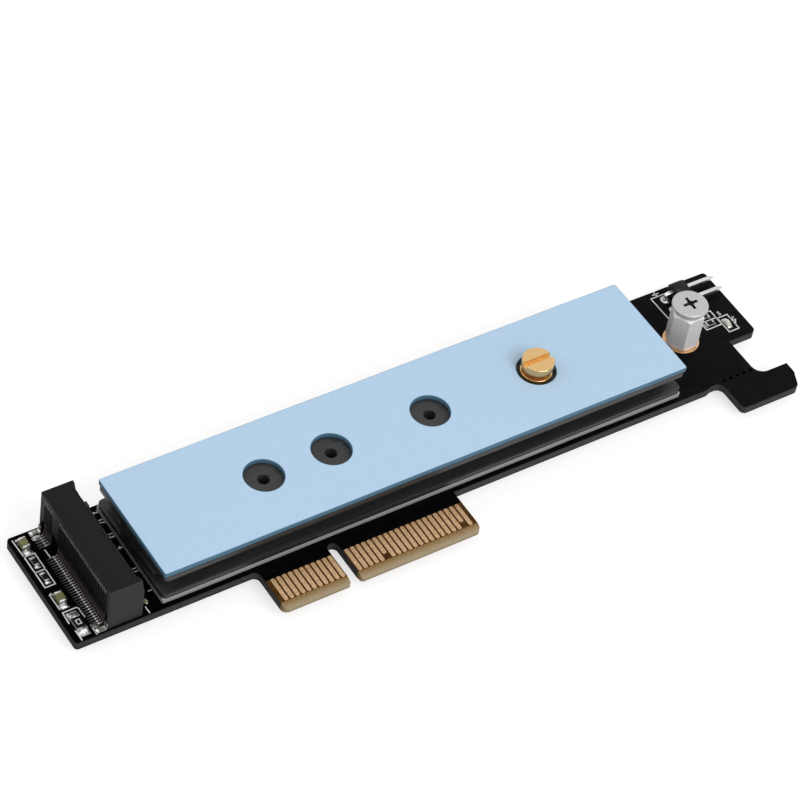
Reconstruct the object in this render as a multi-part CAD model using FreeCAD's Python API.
"""Adapter card that carries an M-keyed solid-state module on a four-lane card edge.

A 22 mm wide circuit board holds a raised module socket at its left end, gold edge contacts
along the front, five plated holes for the module lengths and a breakaway hook at its right
end. A thermal pad, an aluminium heatsink and a second thermal pad lie between the board and
the place of the module. A slotted shoulder screw stands in the heatsink at the 80 mm hole, and
a hex standoff with its nut and flat-head screw at the 110 mm hole.

While it is drawn, x is 0 where the module's edge stops in the socket and grows to the right,
y is 0 on the line of the holes and grows to the back, and z is 0 on the board's top face.
The finished pieces are then moved together, so that the origin is at the middle of the
footprint, level with the lowest point. Millimetres.
"""
import FreeCAD, Part
import math
import os

V = FreeCAD.Vector
UP = V(0, 0, 1)

# Module that the card takes: its hole distances, thickness and width
short_lengths = (30.0, 42.0, 60.0)
screw_length = 80.0
standoff_length = 110.0
module_thickness = 0.8
module_edge_width = 19.85

# Circuit board
board_width = 22.0
board_thickness = 1.6
board_end_room = 12.75
board_edge_room = 0.45
board_corner_radius = 0.6
plating = 0.05
hole_radius = 1.6
ring_radius = 3.05

# Card edge with its key and contacts
first_contact_x = 24.25
contact_pitch = 1.0
contacts_before_key = 11
contacts_after_key = 21
key_contact_spacing = 3.0
key_width = 1.9
key_root_depth = 0.3
contact_width = 0.7
contact_length = 4.5
contact_start = 2.3
short_contact_cut = 1.1
tab_side_margin = 1.1
tab_far_margin = 1.1
tab_depth = 8.2
tab_corner_radius = 1.0
key_corner_radius = 0.5
bevel_length = 1.3
bevel_depth = 0.45
short_on_component_side = (17, 31)
short_on_solder_side = (1,)

# Block, neck and breakaway hook at the right end
block_depth_past_led = 2.6
block_corner_radius = 0.8
neck_from_right = 5.55
neck_width = 6.6
hook_gap = 0.9
hook_depth = 5.0
hook_reach = 0.25
hook_slant = 2.9
hook_slant_run = 1.3
hook_corner_radius = 0.9
neck_root_radius = 2.0
break_hole_count = 5
break_hole_radius = 0.33
break_line_inset = 0.45
relief_length = 3.0
relief_ramp = 0.9
relief_blend_radius = 1.5
relief_radius = 1.3
relief_depth = 0.35

# Heat path above the board
lower_pad_thickness = 1.0
upper_pad_thickness = 1.0
heatsink_height = 5.0
heatsink_side_inset = 0.75
heatsink_end_gap = 7.6
pad_start_gap = 1.8
pad_hole_clearance = 0.15
plate_thickness = 0.95
core_width = 5.6
core_offset = 0.2
fin_thickness = 0.9
fin_inset = 3.4
heatsink_corner_radius = 0.9

# Metric thread of the small hardware, drawn plain
thread_radius = 0.95
tapped_radius = 1.0

# Slotted shoulder screw
shoulder_radius = 2.6
shoulder_groove_radius = 1.4
module_play = 0.1
slotted_head_height = 1.4
head_slot_width = 1.0
head_slot_depth = 0.7
shoulder_thread_length = 3.0

# Hex standoff, nut and flat-head screw
standoff_across_flats = 5.0
collar_radius = 1.7
collar_height = 0.8
standoff_bore_depth = 4.0
stud_length = 2.2
nut_flange_radius = 2.3
nut_flange_height = 0.8
nut_barrel_radius = 1.4
nut_barrel_length = 1.4
flat_head_radius = 3.0
flat_head_rim = 0.3
flat_head_height = 0.85
flat_head_shank = 2.2
cross_arm_length = 2.6
cross_arm_width = 0.55
cross_depth = 0.6

# Module socket
socket_back_depth = 2.2
socket_front_reach = 3.6
socket_lean_height = 5.4
socket_end_wall = 0.6
socket_roof = 0.55
ear_setback = 0.55
ear_slant = 0.6
roof_setback = 1.07
undercut_height = 2.8
undercut_depth = 0.7
slot_play = 0.15
pins_per_side = 38
key_first_pin = 59
key_last_pin = 66
pin_pitch = 0.25
key_wall_width = 1.0
channel_width = 0.3
contact_metal_width = 0.2
contact_metal = 0.14
contact_clearance = 0.08
back_riser_inset = 0.15
front_riser_inset = 0.4
shoulder_height = 7.45
heel_run = 0.5
heel_rise = 0.5
back_tail_length = 1.9
front_tail_length = 0.7
roof_notch_depth = 0.5
lower_contact_start = 0.4
bearing_share = 0.7
hold_down_width = 0.8
hold_down_metal = 0.2
hold_down_height = 1.2
hold_down_foot = 1.4

# Column of parts at the left end, by the steps from the back edge to the middle of each
column_gap = 0.45
column_steps = (2.45, 3.45, 3.25, 4.75, 5.0)
column_width = 2.6
capacitor_size = (2.0, 1.25, 1.25)
resistor_size = (1.6, 0.8, 0.45)
link_size = (3.2, 1.6, 0.55)
link_off_column = 0.3

# Row of coupling capacitors between the socket and the pads
coupling_size = (1.0, 0.5, 0.5)
coupling_count = 6
coupling_gap = 0.6
coupling_end_room = 2.0
end_cap_share = 0.18
end_cap_metal = 0.04

# Right-angle pin header
header_pitch = 2.54
header_pins = 2
header_edge_room = 1.13
header_depth = 2.5
header_height = 2.54
header_notch = 0.4
header_pin_size = 0.64
header_bend_radius = 0.15
header_pin_reach = 5.9
header_pin_end_room = 0.25
header_leg_offset = 1.1
header_leg_past_board = 1.4
header_hole_radius = 0.5

# Light and its two resistors
led_size = (1.6, 0.8)
led_base_height = 0.3
led_lens_height = 0.4
led_lens_length = 1.0
led_lens_draft = 0.1
led_terminal_length = 0.25
led_from_right = 3.5
led_row_gap = 1.55
led_past_resistor = 1.1
led_resistor_size = (1.6, 0.8, 0.45)
led_resistor_pitch = 1.63
led_resistor_header_gap = 2.0

# Places worked out from the sizes
half_board = board_width / 2
module_seat = lower_pad_thickness + heatsink_height + upper_pad_thickness
module_top = module_seat + module_thickness
slot_floor = module_seat - slot_play
slot_top = module_top + slot_play
slot_half_width = module_edge_width / 2 + slot_play
socket_half_width = slot_half_width + socket_end_wall
socket_height = slot_top + socket_roof
back_tail_end = -socket_back_depth - back_tail_length
front_tail_end = socket_front_reach + front_tail_length
column_x = back_tail_end - column_gap - column_width / 2
board_left = column_x - column_width / 2 - board_edge_room
board_right = standoff_length + board_end_room
key_x = first_contact_x + (contacts_before_key - 1) * contact_pitch + key_contact_spacing / 2
last_contact_x = key_x + key_contact_spacing / 2 + (contacts_after_key - 1) * contact_pitch
tab_left = first_contact_x - tab_side_margin
tab_right = last_contact_x + tab_far_margin
tab_end = -half_board - tab_depth
coupling_x = front_tail_end + coupling_gap
pad_left = coupling_x + coupling_size[0] / 2 + pad_start_gap
pad_right = standoff_length - heatsink_end_gap
half_pad = half_board - heatsink_side_inset
heatsink_top = lower_pad_thickness + heatsink_height
pad_hole_radius = ring_radius + pad_hole_clearance
all_lengths = short_lengths + (screw_length, standoff_length)
header_x = board_right - header_pin_end_room - header_pin_reach
leg_x = header_x - header_depth - header_leg_offset
header_half_width = header_pins * header_pitch / 2
header_y = half_board - header_edge_room - header_half_width
header_front_y = header_y - header_half_width
led_x = board_right - led_from_right
led_resistor_x = led_x - led_size[1] / 2 - led_row_gap - led_resistor_size[0] / 2
led_resistor_y = [header_front_y - led_resistor_header_gap - led_resistor_size[1] / 2]
led_resistor_y.append(led_resistor_y[0] - led_resistor_pitch)
led_y = led_resistor_y[1] - led_past_resistor
block_front = led_y - led_size[0] / 2 - block_depth_past_led
neck_right = board_right - neck_from_right
neck_left = neck_right - neck_width
hook_back = -half_board - hook_gap
hook_front = hook_back - hook_depth
hook_right = board_right + hook_reach


def box(x0, x1, y0, y1, z0, z1):
    """Block between two corners."""
    return Part.makeBox(x1 - x0, y1 - y0, z1 - z0, V(x0, y0, z0))


def rod(radius, z0, z1, x=0.0, y=0.0):
    """Upright cylinder."""
    return Part.makeCylinder(radius, z1 - z0, V(x, y, z0))


def rounded_wire(corners):
    """Closed flat outline in XY from corners (x, y, radius), each round one an arc."""
    points = [V(x, y, 0) for x, y, _ in corners]
    stretches = []
    for i, (_, _, radius) in enumerate(corners):
        corner = points[i]
        to_last = (points[i - 1] - corner).normalize()
        to_next = (points[(i + 1) % len(points)] - corner).normalize()
        half_angle = to_last.getAngle(to_next) / 2
        run = radius / math.tan(half_angle)
        middle = (to_last + to_next).normalize() * (radius / math.sin(half_angle) - radius)
        stretches.append((corner + to_last * run, corner + middle, corner + to_next * run, radius))
    edges = []
    for i, (start, middle, end, radius) in enumerate(stretches):
        if radius > 0:
            edges.append(Part.Arc(start, middle, end).toShape())
        following = stretches[(i + 1) % len(stretches)][0]
        if end.distanceToPoint(following) > 1e-6:
            edges.append(Part.LineSegment(end, following).toShape())
    return Part.Wire(edges)


def plate(corners, z0, z1):
    """Flat sheet with a rounded outline, between two heights."""
    sheet = Part.Face(rounded_wire(corners)).extrude(UP * (z1 - z0))
    sheet.translate(V(0, 0, z0))
    return sheet


def side_profile(corners, y0, y1):
    """Outline of (x, z, radius) corners, extruded along y."""
    sheet = Part.Face(rounded_wire(corners)).extrude(UP * (y1 - y0))
    sheet.rotate(V(0, 0, 0), V(1, 0, 0), 90)
    sheet.translate(V(0, y1, 0))
    return sheet


def turned(profile, x=0.0, y=0.0):
    """Solid of revolution about an upright axis, from (radius, z) points."""
    points = [V(r, 0, z) for r, z in profile]
    face = Part.Face(Part.makePolygon(points + points[:1]))
    solid = face.revolve(V(0, 0, 0), UP, 360)
    solid.translate(V(x, y, 0))
    return solid


def contact_positions():
    """X of each contact along the card edge, by its number from 1."""
    places = {}
    for number in range(1, contacts_before_key + contacts_after_key + 1):
        past_key = number > contacts_before_key
        shift = key_contact_spacing - contact_pitch if past_key else 0.0
        places[number] = first_contact_x + (number - 1) * contact_pitch + shift
    return places


def circuit_board():
    """Board outline with its keyed tab and hook, drilled, with a bevelled card edge."""
    key_left = key_x - key_width / 2
    key_right = key_x + key_width / 2
    key_root = -half_board - key_root_depth
    outline = [
        (board_left, half_board, board_corner_radius),
        (board_left, -half_board, board_corner_radius),
        (tab_left, -half_board, tab_corner_radius),
        (tab_left, tab_end, tab_corner_radius),
        (key_left, tab_end, key_corner_radius),
        (key_left, key_root, key_width / 2),
        (key_right, key_root, key_width / 2),
        (key_right, tab_end, key_corner_radius),
        (tab_right, tab_end, tab_corner_radius),
        (tab_right, -half_board, 0),
        (neck_left - relief_length, -half_board, relief_blend_radius),
        (neck_left - relief_length + relief_ramp, -half_board + relief_depth, relief_blend_radius),
        (neck_left, -half_board + relief_depth, relief_radius),
        (neck_left, hook_front, hook_corner_radius),
        (hook_right - hook_slant_run, hook_front, hook_corner_radius),
        (hook_right, hook_front + hook_slant, hook_corner_radius),
        (hook_right, hook_back, 0),
        (neck_right, hook_back, neck_root_radius),
        (neck_right, block_front, 0),
        (board_right, block_front, block_corner_radius),
        (board_right, half_board, board_corner_radius),
    ]
    board = plate(outline, -board_thickness, 0)
    cutters = [rod(hole_radius + plating, -board_thickness, 0, x) for x in all_lengths]
    for y in header_pin_ys():
        cutters.append(rod(header_hole_radius, -board_thickness, 0, leg_x, y))
    break_pitch = neck_width / break_hole_count
    for i in range(break_hole_count):
        x = neck_left + (i + 0.5) * break_pitch
        cutters.append(rod(break_hole_radius, -board_thickness, 0, x, -half_board + break_line_inset))
    cutters += bevel_wedges()
    return board.cut(cutters)


def bevel_wedges():
    """Two long wedges that thin the card edge on both faces."""
    wedges = []
    for face_z, depth_way in ((0.0, -1), (-board_thickness, 1)):
        deep_z = face_z + depth_way * bevel_depth
        corners = [
            V(tab_left, tab_end, face_z),
            V(tab_left, tab_end + bevel_length, face_z),
            V(tab_left, tab_end, deep_z),
        ]
        wedge = Part.Face(Part.makePolygon(corners + corners[:1]))
        wedges.append(wedge.extrude(V(tab_right - tab_left, 0, 0)))
    return wedges


def edge_contacts(z0, short_ones):
    """Row of flat contacts on one face of the tab."""
    strips = []
    back = -half_board - contact_start
    for number, x in contact_positions().items():
        cut = short_contact_cut if number in short_ones else 0.0
        front = back - contact_length + cut
        strips.append(box(x - contact_width / 2, x + contact_width / 2, front, back, z0, z0 + plating))
    return strips


def plated_hole(x):
    """Copper barrel with a flat ring on each face of the board."""
    top = plating
    bottom = -board_thickness - plating
    return turned(
        [
            (hole_radius, bottom),
            (ring_radius, bottom),
            (ring_radius, -board_thickness),
            (hole_radius + plating, -board_thickness),
            (hole_radius + plating, 0),
            (ring_radius, 0),
            (ring_radius, top),
            (hole_radius, top),
        ],
        x,
    )


def socket_pins(first):
    """Y of each contact of one side, without those that the key takes."""
    middle_pin = pins_per_side
    numbers = range(first, 2 * pins_per_side, 2)
    kept = [n for n in numbers if not key_first_pin <= n <= key_last_pin]
    return [(n - middle_pin) * pin_pitch for n in kept]


def socket_block():
    """Solid outline of the socket, whose front leans back above the lower jaw."""
    back = -socket_back_depth
    front = socket_front_reach
    outline = [
        (back, 0, 0),
        (front, 0, 0),
        (front, socket_lean_height, 0),
        (front - ear_setback, socket_height, 0),
        (back, socket_height, 0),
    ]
    return side_profile(outline, -socket_half_width, socket_half_width)


def roof_opening():
    """Space over the lower jaw that leaves the two end walls standing as slanted ears."""
    roof_front = socket_front_reach - roof_setback
    ear_front = socket_front_reach - ear_setback
    half_comb = slot_half_width - ear_slant
    outline = [
        (roof_front, -half_comb, 0),
        (ear_front, -slot_half_width, 0),
        (socket_front_reach, -slot_half_width, 0),
        (socket_front_reach, slot_half_width, 0),
        (ear_front, slot_half_width, 0),
        (roof_front, half_comb, 0),
    ]
    return plate(outline, slot_top, socket_height)


def socket_housing():
    """Tall moulded block with a keyed slot, a toothed roof, an undercut back and open channels."""
    back = -socket_back_depth
    front = socket_front_reach
    roof_front = front - roof_setback
    key_y = ((key_first_pin + key_last_pin) / 2 - pins_per_side) * pin_pitch
    wide_slot = box(0, front, -slot_half_width, key_y - key_wall_width / 2, slot_floor, slot_top)
    narrow_slot = box(0, front, key_y + key_wall_width / 2, slot_half_width, slot_floor, slot_top)
    undercut = box(back, back + undercut_depth, -slot_half_width, slot_half_width, 0, undercut_height)
    cutters = [wide_slot, narrow_slot, roof_opening(), undercut]
    half = channel_width / 2
    notch_x = roof_front - roof_notch_depth
    floor = slot_floor - contact_metal - 2 * contact_clearance
    riser_channel_x = front - front_riser_inset - contact_metal - contact_clearance
    for y in socket_pins(1):
        cutters.append(side_profile(upper_channel(), y - half, y + half))
        cutters.append(box(notch_x, roof_front, y - half, y + half, slot_top, socket_height))
    for y in socket_pins(2):
        cutters.append(box(riser_channel_x, front, y - half, y + half, 0, slot_floor))
        cutters.append(box(lower_contact_start, front, y - half, y + half, floor, slot_floor))
    return socket_block().cut(Part.makeCompound(cutters)).removeSplitter()


def upper_channel():
    """Side outline of an upper contact's channel: up the back, over the stop and through the roof."""
    back = -socket_back_depth
    inner = back + back_riser_inset + contact_metal + contact_clearance
    top = slot_top + contact_metal + 2 * contact_clearance
    floor = shoulder_height - contact_metal - contact_clearance
    return [
        (back, 0, 0),
        (inner, 0, 0),
        (inner, floor, 0),
        (0, module_top, 0),
        (socket_front_reach, module_top, 0),
        (socket_front_reach, top, 0),
        (0, top, 0),
        (back, shoulder_height + contact_clearance, 0),
    ]


def strip_outline(path):
    """Sheet-metal strip of constant thickness to the left of a path of (x, z) points."""
    left_side = []
    for i, (x, z) in enumerate(path):
        turns = []
        for a, b in ((i - 1, i), (i, i + 1)):
            if 0 <= a and b < len(path):
                run = V(path[b][0] - path[a][0], path[b][1] - path[a][1], 0).normalize()
                turns.append(V(-run.y, run.x, 0))
        normal = turns[0] if len(turns) == 1 else (turns[0] + turns[1]).normalize()
        reach = contact_metal / normal.dot(turns[0])
        left_side.append((x + normal.x * reach, z + normal.y * reach, 0))
    right_side = [(x, z, 0) for x, z in path]
    return right_side + left_side[::-1]


def socket_contacts(path, pin_ys):
    """One bent strip for each contact of a side."""
    half = contact_metal_width / 2
    outline = strip_outline(path)
    return [side_profile(outline, y - half, y + half) for y in pin_ys]


def upper_contacts():
    """Contacts that rise from the back tails, pass over the stop and bear on the module's top."""
    riser_x = -socket_back_depth + back_riser_inset
    run_top = slot_top + contact_clearance + contact_metal
    tip_x = socket_front_reach - roof_setback - roof_notch_depth
    path = [
        (back_tail_end, contact_metal),
        (riser_x - heel_run, contact_metal),
        (riser_x, contact_metal + heel_rise),
        (riser_x, shoulder_height),
        (0, run_top),
        (tip_x * bearing_share, module_top + contact_metal),
        (tip_x, run_top),
    ]
    return socket_contacts(path[::-1], socket_pins(1))


def lower_contacts():
    """Contacts that run from the front tails into the slot floor and bear on the module."""
    riser_x = socket_front_reach - front_riser_inset
    run_z = slot_floor - contact_clearance
    path = [
        (front_tail_end, contact_metal),
        (riser_x, contact_metal),
        (riser_x, run_z),
        (riser_x * (1 - bearing_share), module_seat),
        (lower_contact_start + contact_clearance, run_z),
    ]
    return socket_contacts(path, socket_pins(2))


def hold_downs():
    """Bent tab at each end of the socket's back, soldered to the board by its foot."""
    back = -socket_back_depth
    tabs = []
    for side in (-1, 1):
        outer = side * socket_half_width
        inner = side * (socket_half_width - hold_down_width)
        y0, y1 = min(outer, inner), max(outer, inner)
        riser = box(back - hold_down_metal, back, y0, y1, 0, hold_down_height)
        foot = box(back - hold_down_foot, back, y0, y1, 0, hold_down_metal)
        tabs.append(riser.fuse(foot).removeSplitter())
    return tabs


def chip(size, x, y, along_y):
    """Ceramic block between two slightly larger plated end caps, long way along x or y."""
    length, width, height = size
    half, half_width = length / 2, width / 2
    inner = half - length * end_cap_share
    skin = end_cap_metal
    core = box(-inner, inner, -half_width + skin, half_width - skin, skin, height - skin)
    caps = [box(inner, half, -half_width, half_width, 0, height)]
    caps.append(box(-half, -inner, -half_width, half_width, 0, height))
    for solid in [core] + caps:
        if along_y:
            solid.rotate(V(0, 0, 0), UP, 90)
        solid.translate(V(x, y, 0))
    return core, caps


def column_places():
    """Y of the middle of each part in the left column, from back to front."""
    places = []
    y = half_board
    for step in column_steps:
        y -= step
        places.append(y)
    return places


def chips(size, places, along_y):
    """Bodies and end caps of several like chips."""
    bodies, caps = [], []
    for x, y in places:
        core, ends = chip(size, x, y, along_y)
        bodies.append(core)
        caps += ends
    return bodies, caps


def tapered_block(x0, x1, y0, y1, z0, z1, draft):
    """Block whose sides lean in towards the top."""
    low = Part.makePolygon([V(x0, y0, z0), V(x1, y0, z0), V(x1, y1, z0), V(x0, y1, z0), V(x0, y0, z0)])
    a, b, c, d = x0 + draft, x1 - draft, y0 + draft, y1 - draft
    high = Part.makePolygon([V(a, c, z1), V(b, c, z1), V(b, d, z1), V(a, d, z1), V(a, c, z1)])
    return Part.makeLoft([low, high], True, True)


def coupling_places():
    """Even row of small capacitors in front of the socket."""
    half_row = socket_half_width - coupling_end_room
    pitch = 2 * half_row / (coupling_count - 1)
    return [(coupling_x, half_row - i * pitch) for i in range(coupling_count)]


def header_pin_ys():
    """Y of each header pin, from front to back."""
    return [header_front_y + (i + 0.5) * header_pitch for i in range(header_pins)]


def header_body():
    """Moulded strip with a notch between its positions and bores that its pins fill."""
    back = header_x - header_depth
    body = box(back, header_x, header_front_y, header_front_y + 2 * header_half_width, 0, header_height)
    cutters = []
    for i in range(header_pins + 1):
        y = header_front_y + i * header_pitch
        diamond = box(-header_notch, header_notch, -header_notch, header_notch, 0, header_depth)
        diamond.rotate(V(0, 0, 0), UP, 45)
        diamond.rotate(V(0, 0, 0), V(0, 1, 0), 90)
        diamond.translate(V(back, y, header_height))
        cutters.append(diamond)
    return body.cut(cutters + header_pin_solids())


def header_pin_solids():
    """Square pins, bent down through the board behind the moulded strip."""
    half = header_pin_size / 2
    middle_z = header_height / 2
    low = -board_thickness - header_leg_past_board
    outline = [
        (leg_x - half, low, 0),
        (leg_x + half, low, 0),
        (leg_x + half, middle_z - half, header_bend_radius),
        (header_x + header_pin_reach, middle_z - half, 0),
        (header_x + header_pin_reach, middle_z + half, 0),
        (leg_x - half, middle_z + half, header_bend_radius + header_pin_size),
    ]
    return [side_profile(outline, y - half, y + half) for y in header_pin_ys()]


def led():
    """Chip light: a base between two terminals and a lens that leans in on top."""
    length, width = led_size
    half, half_width = length / 2, width / 2
    inner = half - led_terminal_length
    base = box(-half_width, half_width, -inner, inner, 0, led_base_height)
    lens = tapered_block(
        -half_width,
        half_width,
        -led_lens_length / 2,
        led_lens_length / 2,
        led_base_height,
        led_base_height + led_lens_height,
        led_lens_draft,
    )
    terminals = [box(-half_width, half_width, inner, half, 0, led_base_height)]
    terminals.append(box(-half_width, half_width, -half, -inner, 0, led_base_height))
    for solid in [base, lens] + terminals:
        solid.translate(V(led_x, led_y, 0))
    return base, lens, terminals


def thermal_pad(z0, z1):
    """Soft sheet with a hole over each of the board's holes that it covers."""
    pad = box(pad_left, pad_right, -half_pad, half_pad, z0, z1)
    holes = [rod(pad_hole_radius, z0, z1, x) for x in short_lengths + (screw_length,)]
    return pad.cut(holes)


def heatsink():
    """Extruded bar: two plates on a core, with a thinner fin between them on each side."""
    z0 = lower_pad_thickness
    z1 = heatsink_top
    middle_z = (z0 + z1) / 2
    bar = plate(
        [
            (pad_left, -half_pad, heatsink_corner_radius),
            (pad_right, -half_pad, heatsink_corner_radius),
            (pad_right, half_pad, heatsink_corner_radius),
            (pad_left, half_pad, heatsink_corner_radius),
        ],
        z0,
        z1,
    )
    recesses = []
    for side in (-1, 1):
        core_side = side * core_width / 2 + core_offset
        fin_side = side * (half_pad - fin_inset)
        outside = side * (half_pad + plate_thickness)
        slots = (
            (core_side, outside, z0 + plate_thickness, middle_z - fin_thickness / 2),
            (core_side, outside, middle_z + fin_thickness / 2, z1 - plate_thickness),
            (fin_side, outside, middle_z - fin_thickness / 2, middle_z + fin_thickness / 2),
        )
        for y_in, y_out, low, high in slots:
            y0, y1 = min(y_in, y_out), max(y_in, y_out)
            recesses.append(box(pad_left, pad_right, y0, y1, low, high))
    holes = [rod(tapped_radius, z0, z1, x) for x in short_lengths + (screw_length,)]
    return bar.cut(recesses + holes)


def shoulder_screw():
    """Slotted screw whose groove holds the module's end above a flange of the pad's height."""
    seat = heatsink_top
    flange_top = module_seat
    groove_top = flange_top + module_thickness + module_play
    head_top = groove_top + slotted_head_height
    screw = turned(
        [
            (0, seat - shoulder_thread_length),
            (thread_radius, seat - shoulder_thread_length),
            (thread_radius, seat),
            (shoulder_radius, seat),
            (shoulder_radius, flange_top),
            (shoulder_groove_radius, flange_top),
            (shoulder_groove_radius, groove_top),
            (shoulder_radius, groove_top),
            (shoulder_radius, head_top),
            (0, head_top),
        ],
        screw_length,
    )
    half = head_slot_width / 2
    slot = box(-shoulder_radius, shoulder_radius, -half, half, head_top - head_slot_depth, head_top)
    slot.translate(V(screw_length, 0, 0))
    return screw.cut(slot)


def hex_standoff():
    """Hex pillar with a threaded stud below and a bored collar that centres a long module."""
    low = plating
    top = module_seat
    corner_radius = standoff_across_flats / math.sqrt(3)
    corners = []
    for i in range(6):
        angle = math.radians(60 * i)
        corners.append((corner_radius * math.cos(angle), corner_radius * math.sin(angle), 0))
    pillar = plate(corners, low, top)
    collar = rod(collar_radius, top, top + collar_height)
    stud = rod(thread_radius, low - stud_length, low)
    bore_floor = top + collar_height - standoff_bore_depth
    bore = rod(tapped_radius, bore_floor, top + collar_height)
    standoff = pillar.fuse([collar, stud]).cut(bore).removeSplitter()
    standoff.translate(V(standoff_length, 0, 0))
    return standoff


def flanged_nut():
    """Nut under the board whose barrel stands up inside the plated hole."""
    seat = -board_thickness - plating
    return turned(
        [
            (tapped_radius, seat - nut_flange_height),
            (nut_flange_radius, seat - nut_flange_height),
            (nut_flange_radius, seat),
            (nut_barrel_radius, seat),
            (nut_barrel_radius, seat + nut_barrel_length),
            (tapped_radius, seat + nut_barrel_length),
        ],
        standoff_length,
    )


def flat_head_screw():
    """Wide low head with a cross recess, seated on the standoff's collar."""
    seat = module_seat + collar_height
    head_top = seat + flat_head_height
    screw = turned(
        [
            (0, seat - flat_head_shank),
            (thread_radius, seat - flat_head_shank),
            (thread_radius, seat),
            (flat_head_radius, seat),
            (flat_head_radius, seat + flat_head_rim),
            (flat_head_radius - (flat_head_height - flat_head_rim), head_top),
            (0, head_top),
        ]
    )
    half_length, half_width = cross_arm_length / 2, cross_arm_width / 2
    arm = box(-half_length, half_length, -half_width, half_width, head_top - cross_depth, head_top)
    other_arm = box(-half_width, half_width, -half_length, half_length, head_top - cross_depth, head_top)
    screw = screw.cut([arm, other_arm])
    screw.translate(V(standoff_length, 0, 0))
    return screw


def build_nodes():
    """Every node of the card, by name, as a list of its solids."""
    places = column_places()
    capacitor_places = [(column_x, places[0]), (column_x, places[3])]
    resistor_places = [(column_x, places[1]), (column_x, places[2])]
    led_resistor_places = [(led_resistor_x, y) for y in led_resistor_y]
    capacitor_bodies, capacitor_caps = chips(capacitor_size, capacitor_places, True)
    resistor_bodies, resistor_caps = chips(resistor_size, resistor_places, True)
    coupling_bodies, coupling_caps = chips(coupling_size, coupling_places(), False)
    led_resistor_bodies, led_resistor_caps = chips(led_resistor_size, led_resistor_places, False)
    link_body, link_caps = chip(link_size, column_x + link_off_column, places[4], True)
    led_base, led_lens, led_terminals = led()
    nodes = {
        "circuit_board": [circuit_board()],
        "component_side_contacts": edge_contacts(0, short_on_component_side),
        "solder_side_contacts": edge_contacts(-board_thickness - plating, short_on_solder_side),
        "plated_holes": [plated_hole(x) for x in all_lengths],
        "socket_housing": [socket_housing()],
        "socket_upper_contacts": upper_contacts(),
        "socket_lower_contacts": lower_contacts(),
        "socket_hold_downs": hold_downs(),
        "supply_capacitor_bodies": capacitor_bodies,
        "supply_capacitor_caps": capacitor_caps,
        "supply_resistor_bodies": resistor_bodies,
        "supply_resistor_caps": resistor_caps,
        "link_resistor_body": [link_body],
        "link_resistor_caps": link_caps,
        "coupling_capacitor_bodies": coupling_bodies,
        "coupling_capacitor_caps": coupling_caps,
        "header_body": [header_body()],
        "header_pins": header_pin_solids(),
        "led_resistor_bodies": led_resistor_bodies,
        "led_resistor_caps": led_resistor_caps,
        "led_base": [led_base],
        "led_lens": [led_lens],
        "led_terminals": led_terminals,
        "lower_thermal_pad": [thermal_pad(0, lower_pad_thickness)],
        "heatsink": [heatsink()],
        "upper_thermal_pad": [thermal_pad(heatsink_top, module_seat)],
        "shoulder_screw": [shoulder_screw()],
        "hex_standoff": [hex_standoff()],
        "flanged_nut": [flanged_nut()],
        "flat_head_screw": [flat_head_screw()],
    }
    return nodes


def place_on_footprint(nodes):
    """Moves all the solids so that the origin is under the middle of the footprint."""
    bounds = FreeCAD.BoundBox()
    for solids in nodes.values():
        for solid in solids:
            bounds.add(solid.BoundBox)
    shift = V(-bounds.Center.x, -bounds.Center.y, -bounds.ZMin)
    for solids in nodes.values():
        for solid in solids:
            solid.translate(shift)
    print("footprint", round(bounds.XLength, 3), round(bounds.YLength, 3))
    print("height", round(bounds.ZLength, 3))
    print("datum of the module moved by", [round(c, 4) for c in shift])


nodes = build_nodes()
place_on_footprint(nodes)
os.makedirs("parts", exist_ok=True)
for name, solids in nodes.items():
    shape = solids[0] if len(solids) == 1 else Part.makeCompound(solids)
    shape.exportStep(f"parts/{name}.step")
print(len(nodes), "nodes,", sum(len(solids) for solids in nodes.values()), "solids")
